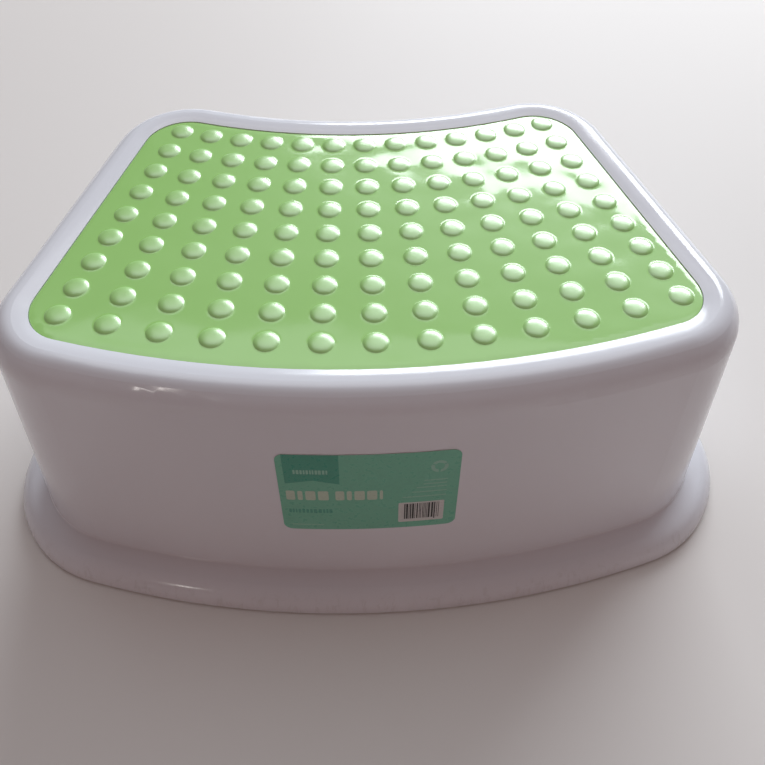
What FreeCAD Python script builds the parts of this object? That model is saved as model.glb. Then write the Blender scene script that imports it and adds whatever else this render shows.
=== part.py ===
import FreeCAD, Part
import os, math
import Sketcher
from FreeCAD import Vector, Placement, Rotation

# Moulded step stool, millimetres. +Z up, feet on Z = 0, front (convex side)
# towards -Y, origin under the middle of the stool's outline on the floor.

doc = FreeCAD.newDocument("StepStool")
sheet = doc.addObject("Spreadsheet::Sheet", "Dims")

# (alias, value, note)
CELLS = [
    # plan: line where the tread recess meets the rim; everything else is
    # a parallel offset of it
    ("front_radius", 465.0, "convex front arc of the recess outline"),
    ("back_radius", 300.7, "concave back arc of the recess outline"),
    ("arc_centre_y", 375.60, "common centre of both arcs, behind the stool"),
    ("side_distance", 134.106, "origin to each side line"),
    ("side_angle", 17.15, "side lines to the Y axis, degrees"),
    ("front_corner", 20.0, "front corner radius of the recess outline"),
    ("back_corner", 23.0, "back corner radius of the recess outline"),
    # heights
    ("foot_height", 1.5, "rubber below the shell"),
    ("rim_top", 150.5, "top of the rim"),
    ("mat_top", 149.1, "flat surface of the tread mat"),
    ("deck_top", 147.5, "floor of the tread recess"),
    ("deck_thickness", 2.8, "deck plate"),
    # rim, wall and skirt section
    ("wall", 2.8, "moulding thickness"),
    ("rim_reach", 19.7, "recess outline to the widest point of the rim"),
    ("rim_radius", 16.4, "roll of the rim, down to the wall"),
    ("crown_radius", 10.5, "tighter round of the rim next to its crest"),
    ("crown_angle", 40.0, "how far that round turns, degrees"),
    ("rim_edge", 24.0, "round of the rim, inside its crest"),
    ("draft", 5.62, "outward lean of the wall, degrees"),
    ("cove", 1.6, "round where the wall meets the skirt"),
    ("ledge_slope", 18.0, "fall of the skirt's ledge, degrees"),
    ("skirt_reach", 49.9, "recess outline to the outside of the skirt"),
    ("lip_radius", 13.2, "quarter round of the skirt"),
    ("overlap", 6.0, "how far the swept section runs under the deck"),
    # underside
    ("rib_depth", 8.0, "ribs below the deck"),
    ("rib_thickness", 2.0, "rib thickness"),
    ("rib_step", 5.6, "angle between the radial ribs, degrees"),
    ("rib_count", 7, "radial ribs"),
    ("arc_rib_inner", 342.0, "radius of the back cross rib"),
    ("arc_rib_middle", 385.0, "radius of the middle cross rib"),
    ("arc_rib_outer", 428.0, "radius of the front cross rib"),
    ("arc_rib_angle", 26.0, "half angle of the cross ribs before trimming"),
    ("boss_radius", 8.0, "foot boss"),
    ("socket_radius", 4.0, "foot socket"),
    ("socket_depth", 7.0, "foot socket"),
    # feet
    ("pad_radius", 7.0, "foot pad"),
    ("stem_radius", 3.7, "foot stem"),
    ("stem_length", 6.0, "foot stem"),
    ("pad_chamfer", 0.3, "foot pad edge"),
    ("foot_front_x", 175.4, "front corner feet"),
    ("foot_front_y", -89.66, "front corner feet"),
    ("foot_back_x", 124.4, "back corner feet"),
    ("foot_back_y", 120.26, "back corner feet"),
    ("foot_mid_front_y", -127.40, "middle front foot"),
    ("foot_mid_back_y", 112.90, "middle back foot"),
    # tread mat
    ("mat_gap", 0.3, "mat edge to recess wall"),
    ("mat_edge", 0.5, "round of the mat edge"),
    ("dome_radius", 5.9, "dome footprint"),
    ("dome_edge", 0.15, "upright edge of a dome"),
    ("dome_cap", 1.15, "rounded cap of a dome, over its edge"),
    ("dome_centre_x", -1.34, "centre of the dome rows"),
    ("dome_centre_y", 393.20, "centre of the dome rows"),
    ("dome_turn", 0.374, "turn of the dome field about its centre, degrees"),
    ("dome_first_row", 327.5, "radius of the back row"),
    ("dome_pitch", 17.5, "between rows"),
    ("dome_step", 2.957, "between columns, degrees"),
    ("dome_rows", 9, "rows, front to back"),
    ("dome_columns", 13, "columns, side to side"),
    # front label
    ("label_width", 84.8, "label"),
    ("label_height", 60.0, "label"),
    ("label_corner", 4.5, "label corner radius"),
    ("label_centre_x", -2.8, "label centre from the middle"),
    ("label_centre_z", 86.0, "label centre above the floor"),
    ("label_tilt", 0.3, "label rotation, degrees"),
    ("label_gap", 0.05, "adhesive"),
    ("label_film", 0.2, "film"),
]
for row, (alias, value, note) in enumerate(CELLS, start=1):
    sheet.set("A%d" % row, note)
    sheet.set("B%d" % row, str(value))
    sheet.setAlias("B%d" % row, alias)
doc.recompute()
D = {alias: float(sheet.get(alias)) for alias, _, _ in CELLS}


# ---------------------------------------------------------------- helpers

def origin_plane(body, role):
    for feature in body.Origin.OriginFeatures:
        if feature.Role == role:
            return feature
    raise RuntimeError(role)


def new_sketch(body, role, name, lift=None):
    """Sketch on an origin plane; lift is an expression for its height."""
    sk = body.newObject("Sketcher::SketchObject", name)
    sk.AttachmentSupport = (origin_plane(body, role), [""])
    sk.MapMode = "FlatFace"
    if lift:
        sk.setExpression("AttachmentOffset.Base.z", lift)
    return sk


def dim(sk, kind, args, name, expr, value):
    """Driving dimension bound to the sheet."""
    index = sk.addConstraint(Sketcher.Constraint(kind, *args, value))
    sk.renameConstraint(index, name)
    sk.setExpression("Constraints." + name, expr)
    return index


def plan_points(off):
    """Exact corner data of the outline offset outwards by off."""
    cy = D["arc_centre_y"]
    al = math.radians(D["side_angle"])
    nx, ny = math.cos(al), math.sin(al)
    dist = D["side_distance"] + off
    rfr, rbk = D["front_radius"] + off, D["back_radius"] - off
    cf, cb = D["front_corner"] + off, D["back_corner"] + off

    def centre(radius, corner):
        k = dist - corner
        b = -2 * cy * nx
        c = k * k - 2 * k * ny * cy + cy * cy - radius * radius
        s = (-b - math.sqrt(b * b - 4 * c)) / 2
        return Vector(k * nx - s * ny, k * ny + s * nx, 0)

    front = centre(rfr - cf, cf)
    back = centre(rbk + cb, cb)
    c0 = Vector(0, cy, 0)
    n = Vector(nx, ny, 0)
    p_front = c0 + (front - c0).normalize() * rfr
    p_back = c0 + (back - c0).normalize() * rbk
    return dict(c0=c0, front=front, back=back, p_front=p_front, p_back=p_back,
                s_front=front + n * cf, s_back=back + n * cb,
                rfr=rfr, rbk=rbk, cf=cf, cb=cb)


def mirror(v):
    return Vector(-v.x, v.y, v.z)


def arc_between(centre, radius, p, q):
    """Counter-clockwise arc from p to q."""
    a = math.atan2(p.y - centre.y, p.x - centre.x)
    b = math.atan2(q.y - centre.y, q.x - centre.x)
    if b < a:
        b += 2 * math.pi
    return Part.ArcOfCircle(Part.Circle(centre, Vector(0, 0, 1), radius), a, b)


def outline(sk, off_expr, off):
    """The stool's plan outline offset by off, fully constrained."""
    g = plan_points(off)
    plus = " + (" + off_expr + ")" if off_expr else ""
    minus = " - (" + off_expr + ")" if off_expr else ""
    m = mirror
    geo = [
        arc_between(g["c0"], g["rfr"], m(g["p_front"]), g["p_front"]),          # 0 front
        arc_between(g["front"], g["cf"], g["p_front"], g["s_front"]),           # 1
        Part.LineSegment(g["s_front"], g["s_back"]),                            # 2 right side
        arc_between(g["back"], g["cb"], g["s_back"], g["p_back"]),              # 3
        arc_between(g["c0"], g["rbk"], m(g["p_back"]), g["p_back"]),            # 4 back
        arc_between(m(g["back"]), g["cb"], m(g["p_back"]), m(g["s_back"])),     # 5
        Part.LineSegment(m(g["s_back"]), m(g["s_front"])),                      # 6 left side
        arc_between(m(g["front"]), g["cf"], m(g["s_front"]), m(g["p_front"])),  # 7
    ]
    sk.addGeometry(geo, False)
    C = Sketcher.Constraint
    joints = [(0, 2, 1, 1), (1, 2, 2, 1), (2, 2, 3, 1), (3, 2, 4, 2),
              (4, 1, 5, 1), (5, 2, 6, 1), (6, 2, 7, 1), (7, 2, 0, 1)]
    for a, pa, b, pb in joints:
        sk.addConstraint(C("Tangent", a, pa, b, pb))
    sk.addConstraint(C("PointOnObject", 0, 3, -2))
    sk.addConstraint(C("PointOnObject", 4, 3, -2))
    cy = D["arc_centre_y"]
    dim(sk, "DistanceY", (-1, 1, 0, 3), "front_centre", "Dims.arc_centre_y", cy)
    dim(sk, "DistanceY", (-1, 1, 4, 3), "back_centre", "Dims.arc_centre_y", cy)
    dim(sk, "Radius", (0,), "front_arc", "Dims.front_radius" + plus, g["rfr"])
    dim(sk, "Radius", (4,), "back_arc", "Dims.back_radius" + minus, g["rbk"])
    for i, nm, base, val in ((1, "corner_fr", "front_corner", g["cf"]),
                             (7, "corner_fl", "front_corner", g["cf"]),
                             (3, "corner_br", "back_corner", g["cb"]),
                             (5, "corner_bl", "back_corner", g["cb"])):
        dim(sk, "Radius", (i,), nm, "Dims." + base + plus, val)
    for i, nm in ((2, "side_r"), (6, "side_l")):
        dim(sk, "Distance", (-1, 1, i), nm, "Dims.side_distance" + plus,
            D["side_distance"] + off)
    # the lean of each side line against the Y axis
    dim(sk, "Angle", (-2, 1, 2, 1), "lean_r", "Dims.side_angle * 1deg",
        math.radians(D["side_angle"]))
    dim(sk, "Angle", (6, 2, -2, 1), "lean_l", "Dims.side_angle * 1deg",
        math.radians(D["side_angle"]))
    return g



FRONT = "(Dims.arc_centre_y - Dims.front_radius)"
ROLL_Y = FRONT + " - Dims.rim_reach + Dims.rim_radius"
ROLL_Z = ("Dims.rim_top - Dims.crown_radius"
          " + (Dims.crown_radius - Dims.rim_radius) * cos(Dims.crown_angle * 1deg)")
CREST_Y = ROLL_Y + (" + (Dims.crown_radius - Dims.rim_radius)"
                    " * sin(Dims.crown_angle * 1deg)")


def wall_chain(sk, off_expr, off, tag, partner=None, crown=True):
    """Rim roll, wall, cove, ledge and lip of the section, offset inwards,
    and the crown next to the crest if asked for.

    Section plane: first axis = Y of the stool (outwards is negative),
    second axis = Z. Returns the geometry indices in that order.
    """
    y0 = D["arc_centre_y"] - D["front_radius"]
    phi, sig = math.radians(D["draft"]), math.radians(D["ledge_slope"])
    rr, lip, rc = D["rim_radius"], D["lip_radius"], D["cove"]
    rc0, turn = D["crown_radius"], math.radians(D["crown_angle"])
    c2 = Vector(y0 - (D["rim_reach"] - rr),
                D["rim_top"] - rc0 + (rc0 - rr) * math.cos(turn), 0)
    c1 = Vector(c2.x + (rc0 - rr) * math.sin(turn), D["rim_top"] - rc0, 0)
    c4 = Vector(y0 - (D["skirt_reach"] - lip), D["foot_height"], 0)
    n = Vector(-math.cos(phi), math.sin(phi), 0)
    m = Vector(-math.sin(sig), math.cos(sig), 0)
    kn, km = c2.dot(n) + rr + rc, c4.dot(m) + lip + rc
    det = n.x * m.y - n.y * m.x
    c3 = Vector((kn * m.y - km * n.y) / det, (n.x * km - m.x * kn) / det, 0)
    p5 = c2 + n * (rr - off)
    p6, p7 = c3 - n * (rc + off), c3 - m * (rc + off)
    p8 = c4 + m * (lip - off)
    z = Vector(0, 0, 1)
    top = math.pi / 2
    i = sk.addGeometry([
        Part.ArcOfCircle(Part.Circle(c2, z, rr - off), top + turn, math.pi - phi),
        Part.LineSegment(p5, p6),
        Part.ArcOfCircle(Part.Circle(c3, z, rc + off), sig - top, -phi),
        Part.LineSegment(p7, p8),
        Part.ArcOfCircle(Part.Circle(c4, z, lip - off), top + sig, math.pi),
    ], False)
    roll, wall, cove, ledge, lipa = i
    C = Sketcher.Constraint
    sk.addConstraint(C("Tangent", roll, 2, wall, 1))
    sk.addConstraint(C("Tangent", wall, 2, cove, 2))
    sk.addConstraint(C("Tangent", cove, 1, ledge, 1))
    sk.addConstraint(C("Tangent", ledge, 2, lipa, 1))
    less = " - (" + off_expr + ")" if off_expr else ""
    more = " + (" + off_expr + ")" if off_expr else ""
    dim(sk, "Radius", (roll,), tag + "roll", "Dims.rim_radius" + less, rr - off)
    dim(sk, "Radius", (cove,), tag + "cove", "Dims.cove" + more, rc + off)
    dim(sk, "Radius", (lipa,), tag + "lip", "Dims.lip_radius" + less, lip - off)
    if crown:
        arc = sk.addGeometry(Part.ArcOfCircle(
            Part.Circle(c1, z, rc0 - off), top, top + turn), False)
        i = list(i) + [arc]
        sk.addConstraint(C("Tangent", arc, 2, roll, 1))
        sk.addConstraint(C("Vertical", arc, 3, arc, 1))
        dim(sk, "Radius", (arc,), tag + "crown", "Dims.crown_radius" + less, rc0 - off)
        if partner is None:
            dim(sk, "DistanceX", (-1, 1, arc, 3), tag + "crest_y", CREST_Y, c1.x)
        else:
            sk.addConstraint(C("Vertical", arc, 3, partner[5], 3))
    if partner is None:
        dim(sk, "DistanceX", (-1, 1, roll, 3), tag + "roll_y", ROLL_Y, c2.x)
        dim(sk, "DistanceY", (-1, 1, roll, 3), tag + "roll_z", ROLL_Z, c2.y)
        dim(sk, "DistanceX", (-1, 1, lipa, 3), tag + "lip_y",
            FRONT + " - Dims.skirt_reach + Dims.lip_radius", c4.x)
        dim(sk, "DistanceY", (-1, 1, lipa, 3), tag + "lip_z",
            "Dims.foot_height", c4.y)
        dim(sk, "Angle", (-2, 1, wall, 2), tag + "draft",
            "Dims.draft * -1deg", -phi)
        dim(sk, "Angle", (ledge, 2, -1, 1), tag + "slope",
            "Dims.ledge_slope * -1deg", -sig)
    else:
        sk.addConstraint(C("Coincident", roll, 3, partner[0], 3))
        sk.addConstraint(C("Coincident", lipa, 3, partner[4], 3))
        sk.addConstraint(C("Parallel", wall, partner[1]))
        sk.addConstraint(C("Parallel", ledge, partner[3]))
    return i, dict(c1=c1, c2=c2, c3=c3, c4=c4, y0=y0)


def skin_section(sk):
    """Closed section of the moulded skin from the recess to the skirt."""
    outer, k = wall_chain(sk, "", 0.0, "o_")
    inner, _ = wall_chain(sk, "Dims.wall", D["wall"], "i_", outer)
    y0, ri, zt = k["y0"], D["rim_edge"], D["rim_top"]
    zr, zd = D["deck_top"], D["deck_top"] - D["deck_thickness"]
    zb, ov, t = D["foot_height"], D["overlap"], D["wall"]
    P = Vector
    p0, p1 = P(y0 + ov, zr, 0), P(y0, zr, 0)
    ce = P(k["c1"].x, zt - ri, 0)
    lean = math.acos((y0 - ce.x) / ri)
    p2 = P(y0, ce.y + ri * math.sin(lean), 0)
    p9, p10 = P(k["c4"].x - D["lip_radius"], zb, 0), P(k["c4"].x - D["lip_radius"] + t, zb, 0)
    p14, p15, p16 = P(k["c1"].x, zt - t, 0), P(y0 - t, zt - t, 0), P(y0 - t, zd, 0)
    p17 = P(y0 + ov, zd, 0)
    C = Sketcher.Constraint
    floor, step, edge, foot, ceil, drop, under, close = sk.addGeometry([
        Part.LineSegment(p0, p1),
        Part.LineSegment(p1, p2),
        Part.ArcOfCircle(Part.Circle(ce, P(0, 0, 1), ri), lean, math.pi / 2),
        Part.LineSegment(p9, p10),
        Part.LineSegment(p14, p15),
        Part.LineSegment(p15, p16),
        Part.LineSegment(p16, p17),
        Part.LineSegment(p17, p0),
    ], False)
    for kind, args in (
            ("Horizontal", (floor,)), ("Vertical", (step,)),
            ("Coincident", (floor, 2, step, 1)),
            ("Coincident", (step, 2, edge, 1)),
            ("Tangent", (edge, 2, outer[5], 1)),
            ("Coincident", (outer[4], 2, foot, 1)),
            ("Coincident", (inner[4], 2, foot, 2)), ("Horizontal", (foot,)),
            ("Coincident", (inner[5], 1, ceil, 1)), ("Horizontal", (ceil,)),
            ("Coincident", (ceil, 2, drop, 1)), ("Vertical", (drop,)),
            ("Coincident", (drop, 2, under, 1)), ("Horizontal", (under,)),
            ("Coincident", (under, 2, close, 1)), ("Vertical", (close,)),
            ("Coincident", (close, 2, floor, 1))):
        sk.addConstraint(C(kind, *args))
    dim(sk, "Radius", (edge,), "edge", "Dims.rim_edge", ri)
    dim(sk, "DistanceX", (-1, 1, floor, 1), "inboard", FRONT + " + Dims.overlap", y0 + ov)
    dim(sk, "DistanceY", (-1, 1, floor, 1), "recess_z", "Dims.deck_top", zr)
    dim(sk, "DistanceX", (-1, 1, floor, 2), "recess_y", FRONT, y0)
    dim(sk, "DistanceY", (-1, 1, outer[4], 2), "base_z", "Dims.foot_height", zb)
    dim(sk, "DistanceY", (-1, 1, under, 1), "under_z", "Dims.deck_top - Dims.deck_thickness", zd)
    dim(sk, "DistanceX", (-1, 1, under, 1), "drop_y", FRONT + " - Dims.wall", y0 - t)



def mid_section(sk):
    """Filled section out to the middle of the skin's thickness."""
    half = D["wall"] / 2
    chain, k = wall_chain(sk, "Dims.wall / 2", half, "m_", crown=False)
    # this chain stands alone, so it carries its own position dimensions
    y0, zb = k["y0"], D["foot_height"]
    zt = D["deck_top"] - D["deck_thickness"] / 2
    r = D["rim_radius"] - half
    x4 = k["c2"].x - math.sqrt(r * r - (zt - k["c2"].y) ** 2)
    P = Vector
    p0, p4 = P(y0 + D["overlap"], zt, 0), P(x4, zt, 0)
    p9, p10 = P(k["c4"].x - D["lip_radius"] + half, zb, 0), P(y0 + D["overlap"], zb, 0)
    top, base, close = sk.addGeometry([
        Part.LineSegment(p0, p4), Part.LineSegment(p9, p10),
        Part.LineSegment(p10, p0)], False)
    C = Sketcher.Constraint
    for kind, args in (
            ("Horizontal", (top,)), ("Coincident", (top, 2, chain[0], 1)),
            ("Coincident", (chain[4], 2, base, 1)), ("Horizontal", (base,)),
            ("Coincident", (base, 2, close, 1)), ("Vertical", (close,)),
            ("Coincident", (close, 2, top, 1))):
        sk.addConstraint(C(kind, *args))
    dim(sk, "DistanceX", (-1, 1, top, 1), "inboard", FRONT + " + Dims.overlap", p0.x)
    dim(sk, "DistanceY", (-1, 1, top, 1), "top_z",
        "Dims.deck_top - Dims.deck_thickness / 2", zt)
    dim(sk, "DistanceY", (-1, 1, chain[4], 2), "base_z", "Dims.foot_height", zb)


def ring_and_core(label, section, z_low_expr, height_expr):
    """Body: the section swept round the outline, and the plate inside it."""
    body = doc.addObject("PartDesign::Body", label)
    spine = new_sketch(body, "XY_Plane", label + "_path")
    outline(spine, "", 0.0)
    sec = new_sketch(body, "YZ_Plane", label + "_section")
    section(sec)
    doc.recompute()
    pipe = body.newObject("PartDesign::AdditivePipe", label + "_sweep")
    pipe.Profile = sec
    pipe.Spine = (spine, ["Edge%d" % i for i in range(1, 9)])
    pipe.Mode = "Standard"
    doc.recompute()
    plate = new_sketch(body, "XY_Plane", label + "_plate_outline", z_low_expr)
    outline(plate, "-Dims.overlap / 2", -D["overlap"] / 2)
    pad = body.newObject("PartDesign::Pad", label + "_plate")
    pad.Profile = plate
    pad.setExpression("Length", height_expr)
    doc.recompute()
    return body



def lifted_circle_sketch(body, name, lift, radius_expr, radius, spots):
    """Circles of one radius; spots are (name, x expr, x, y expr, y)."""
    sk = new_sketch(body, "XY_Plane", name, lift)
    for nm, ex, x, ey, y in spots:
        i = sk.addGeometry(Part.Circle(Vector(x, y, 0), Vector(0, 0, 1), radius), False)
        dim(sk, "Radius", (i,), nm + "_r", radius_expr, radius)
        if ex is None:
            sk.addConstraint(Sketcher.Constraint("PointOnObject", i, 3, -2))
        else:
            dim(sk, "DistanceX", (-1, 1, i, 3), nm + "_x", ex, x)
        if ey is None:
            sk.addConstraint(Sketcher.Constraint("PointOnObject", i, 3, -1))
        else:
            dim(sk, "DistanceY", (-1, 1, i, 3), nm + "_y", ey, y)
    return sk


def axis_sketch(body, name, centre_expr, across_expr=None):
    """Empty sketch whose normal axis is the vertical line through a centre."""
    sk = new_sketch(body, "XY_Plane", name)
    sk.setExpression("AttachmentOffset.Base.y", centre_expr)
    if across_expr:
        sk.setExpression("AttachmentOffset.Base.x", across_expr)
    sk.addGeometry(Part.Point(Vector(0, 0, 0)), True)
    sk.addConstraint(Sketcher.Constraint("Coincident", 0, 1, -1, 1))
    return sk


FEET = [  # node name, x expression, x, y expression, y
    ("foot_pad_front_left", "-Dims.foot_front_x", -D["foot_front_x"],
     "Dims.foot_front_y", D["foot_front_y"]),
    ("foot_pad_front_middle", None, 0.0,
     "Dims.foot_mid_front_y", D["foot_mid_front_y"]),
    ("foot_pad_front_right", "Dims.foot_front_x", D["foot_front_x"],
     "Dims.foot_front_y", D["foot_front_y"]),
    ("foot_pad_back_left", "-Dims.foot_back_x", -D["foot_back_x"],
     "Dims.foot_back_y", D["foot_back_y"]),
    ("foot_pad_back_middle", None, 0.0,
     "Dims.foot_mid_back_y", D["foot_mid_back_y"]),
    ("foot_pad_back_right", "Dims.foot_back_x", D["foot_back_x"],
     "Dims.foot_back_y", D["foot_back_y"]),
]


# ------------------------------------------------------------ stool shell

skin = ring_and_core("skin", skin_section,
                     "Dims.deck_top - Dims.deck_thickness", "Dims.deck_thickness")
mid = ring_and_core("mid_fill", mid_section, "Dims.foot_height",
                    "Dims.deck_top - Dims.deck_thickness / 2 - Dims.foot_height")

# ribs and foot bosses, drawn oversize and trimmed to the middle of the skin
under = doc.addObject("PartDesign::Body", "underside")
C = Sketcher.Constraint
RIB_Z = "Dims.deck_top - Dims.deck_thickness - Dims.rib_depth"
RIB_LEN = "Dims.rib_depth + Dims.deck_thickness / 2"
turn = axis_sketch(under, "rib_axis", "Dims.arc_centre_y")

rib = new_sketch(under, "XY_Plane", "radial_rib", RIB_Z)
a0 = math.radians(-(D["rib_count"] - 1) / 2 * D["rib_step"])
A0 = "((Dims.rib_count - 1) / 2 * Dims.rib_step * 1deg)"
cy = D["arc_centre_y"]
rib.AttachmentOffset = Placement(Vector(cy * math.sin(a0), cy - cy * math.cos(a0), 0),
                                 Rotation(Vector(0, 0, 1), math.degrees(a0)))
rib.setExpression("AttachmentOffset.Base.x",
                  "-Dims.arc_centre_y * sin(%s)" % A0)
rib.setExpression("AttachmentOffset.Base.y",
                  "Dims.arc_centre_y * (1 - cos(%s))" % A0)
rib.setExpression("AttachmentOffset.Rotation.Angle", "-" + A0)
w, front, back = D["rib_thickness"] / 2, -170.0, 160.0
rib.addGeometry([
    Part.LineSegment(Vector(-w, front, 0), Vector(w, front, 0)),
    Part.LineSegment(Vector(w, front, 0), Vector(w, back, 0)),
    Part.LineSegment(Vector(w, back, 0), Vector(-w, back, 0)),
    Part.LineSegment(Vector(-w, back, 0), Vector(-w, front, 0))], False)
for a in range(4):
    rib.addConstraint(C("Coincident", a, 2, (a + 1) % 4, 1))
for a, kind in ((0, "Horizontal"), (1, "Vertical"), (2, "Horizontal"), (3, "Vertical")):
    rib.addConstraint(C(kind, a))
dim(rib, "DistanceX", (-1, 1, 0, 2), "half_w", "Dims.rib_thickness / 2", w)
dim(rib, "DistanceX", (0, 1, 0, 2), "full_w", "Dims.rib_thickness", 2 * w)
rib.addConstraint(C("DistanceY", -1, 1, 0, 1, front))
rib.addConstraint(C("DistanceY", -1, 1, 2, 1, back))
rib_pad = under.newObject("PartDesign::Pad", "radial_rib_pad")
rib_pad.Profile = rib
rib_pad.setExpression("Length", RIB_LEN)
doc.recompute()
fan = under.newObject("PartDesign::PolarPattern", "radial_ribs")
fan.Originals = [rib_pad]
fan.Axis = (turn, ["N_Axis"])
fan.Mode = "Extent"
fan.setExpression("Angle", "(Dims.rib_count - 1) * Dims.rib_step * 1deg")
fan.Occurrences = 7
fan.setExpression("Occurrences", "Dims.rib_count")
under.Tip = fan
doc.recompute()

for tag in ("inner", "middle", "outer"):
    sk = new_sketch(under, "XY_Plane", "arc_rib_" + tag, RIB_Z)
    r, half = D["arc_rib_" + tag], math.radians(D["arc_rib_angle"])
    c0, z = Vector(0, cy, 0), Vector(0, 0, 1)
    r1, r2 = r - w, r + w
    lo, hi = 1.5 * math.pi - half, 1.5 * math.pi + half

    def pt(rad, ang):
        return c0 + Vector(rad * math.cos(ang), rad * math.sin(ang), 0)

    sk.addGeometry([
        Part.ArcOfCircle(Part.Circle(c0, z, r2), lo, hi),
        Part.LineSegment(pt(r2, hi), pt(r1, hi)),
        Part.ArcOfCircle(Part.Circle(c0, z, r1), lo, hi),
        Part.LineSegment(pt(r1, lo), pt(r2, lo))], False)
    sk.addConstraint([
        C("Coincident", 0, 2, 1, 1), C("Coincident", 1, 2, 2, 2),
        C("Coincident", 2, 1, 3, 1), C("Coincident", 3, 2, 0, 1),
        C("Coincident", 0, 3, 2, 3), C("PointOnObject", 0, 3, -2),
        C("PointOnObject", 0, 3, 1), C("PointOnObject", 0, 3, 3)])
    dim(sk, "DistanceY", (-1, 1, 0, 3), "centre", "Dims.arc_centre_y", cy)
    dim(sk, "Radius", (0,), "outside", "Dims.arc_rib_%s + Dims.rib_thickness / 2" % tag, r2)
    dim(sk, "Radius", (2,), "inside", "Dims.arc_rib_%s - Dims.rib_thickness / 2" % tag, r1)
    end_x = "(Dims.arc_rib_%s + Dims.rib_thickness / 2) * sin(Dims.arc_rib_angle * 1deg)" % tag
    dim(sk, "DistanceX", (-1, 1, 0, 1), "left_end", "-" + end_x, -r2 * math.sin(half))
    dim(sk, "DistanceX", (-1, 1, 0, 2), "right_end", end_x, r2 * math.sin(half))
    pad = under.newObject("PartDesign::Pad", "arc_rib_%s_pad" % tag)
    pad.Profile = sk
    pad.setExpression("Length", RIB_LEN)
    doc.recompute()

boss_sk = lifted_circle_sketch(under, "boss_circles", "Dims.foot_height",
                               "Dims.boss_radius", D["boss_radius"],
                               [(f[0][9:], f[1], f[2], f[3], f[4]) for f in FEET])
boss = under.newObject("PartDesign::Pad", "foot_bosses")
boss.Profile = boss_sk
boss.Length = 16.0
boss.AllowMultiFace = True
doc.recompute()

# trim, join, and open the foot sockets
trimmed = doc.addObject("Part::Common", "underside_trimmed")
trimmed.Base, trimmed.Tool = under, mid
joined = doc.addObject("Part::MultiFuse", "shell_joined")
joined.Shapes = [skin, trimmed]
sockets = doc.addObject("PartDesign::Body", "sockets")
socket_sk = lifted_circle_sketch(sockets, "socket_circles", "Dims.foot_height",
                                 "Dims.socket_radius", D["socket_radius"],
                                 [(f[0][9:], f[1], f[2], f[3], f[4]) for f in FEET])
socket = sockets.newObject("PartDesign::Pad", "socket_plugs")
socket.Profile = socket_sk
socket.setExpression("Length", "Dims.socket_depth")
socket.AllowMultiFace = True
shell = doc.addObject("Part::Cut", "stool_shell")
shell.Base, shell.Tool = joined, sockets
shell.Refine = True
doc.recompute()


# ------------------------------------------------------------- tread mat

mat = doc.addObject("PartDesign::Body", "tread_mat")
mat_sk = new_sketch(mat, "XY_Plane", "mat_outline", "Dims.deck_top")
outline(mat_sk, "-Dims.mat_gap", -D["mat_gap"])
mat_pad = mat.newObject("PartDesign::Pad", "mat_sheet")
mat_pad.Profile = mat_sk
mat_pad.setExpression("Length", "Dims.mat_top - Dims.deck_top")
doc.recompute()
top_edges = ["Edge%d" % (k + 1) for k, e in enumerate(mat_pad.Shape.Edges)
             if abs(e.BoundBox.ZMin - D["mat_top"]) < 1e-4 and e.BoundBox.ZLength < 1e-3]
mat_round = mat.newObject("PartDesign::Fillet", "mat_edge_round")
mat_round.Base = (mat_pad, top_edges)
mat_round.setExpression("Radius", "Dims.mat_edge")
doc.recompute()

t0 = math.radians(-6 * D["dome_step"])
t0 += math.radians(D["dome_turn"])
T0 = ("((Dims.dome_turn - (Dims.dome_columns - 1) / 2 * Dims.dome_step)"
      " * 1deg)")
dx = D["dome_centre_x"] + D["dome_first_row"] * math.sin(t0)
dy = D["dome_centre_y"] - D["dome_first_row"] * math.cos(t0)
dome_sk = new_sketch(mat, "XZ_Plane", "dome_section")
dome_sk.setExpression("AttachmentOffset.Base.x",
                      "Dims.dome_centre_x + Dims.dome_first_row * sin(%s)" % T0)
dome_sk.setExpression("AttachmentOffset.Base.z",
                      "-(Dims.dome_centre_y - Dims.dome_first_row * cos(%s))" % T0)
dome_sk.setExpression("AttachmentOffset.Base.y", "Dims.mat_top")
a, e, cap = D["dome_radius"], D["dome_edge"], D["dome_cap"]
h = e + cap
rs = (a * a + cap * cap) / (2 * cap)
b0 = math.asin((rs - cap) / rs)
sunk = 0.4
dome_sk.addGeometry([
    Part.ArcOfCircle(Part.Circle(Vector(0, h - rs, 0), Vector(0, 0, 1), rs), b0, math.pi / 2),
    Part.LineSegment(Vector(0, h, 0), Vector(0, -sunk, 0)),
    Part.LineSegment(Vector(0, -sunk, 0), Vector(a, -sunk, 0)),
    Part.LineSegment(Vector(a, -sunk, 0), Vector(a, e, 0))], False)
dome_sk.addConstraint([
    C("Coincident", 0, 2, 1, 1), C("Coincident", 1, 2, 2, 1),
    C("Coincident", 2, 2, 3, 1), C("Coincident", 3, 2, 0, 1),
    C("PointOnObject", 0, 3, -2), C("PointOnObject", 1, 1, -2),
    C("PointOnObject", 1, 2, -2), C("Horizontal", 2), C("Vertical", 3),
    C("DistanceY", 1, 2, -1, 1, sunk)])
dim(dome_sk, "DistanceX", (-1, 1, 3, 2), "footprint", "Dims.dome_radius", a)
dim(dome_sk, "DistanceY", (-1, 1, 3, 2), "edge", "Dims.dome_edge", e)
dim(dome_sk, "DistanceY", (-1, 1, 0, 2), "rise", "Dims.dome_edge + Dims.dome_cap", h)
doc.recompute()
dome = mat.newObject("PartDesign::Revolution", "dome")
dome.Profile = dome_sk
dome.ReferenceAxis = (dome_sk, ["V_Axis"])
dome.Angle = 360.0
doc.recompute()

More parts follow.
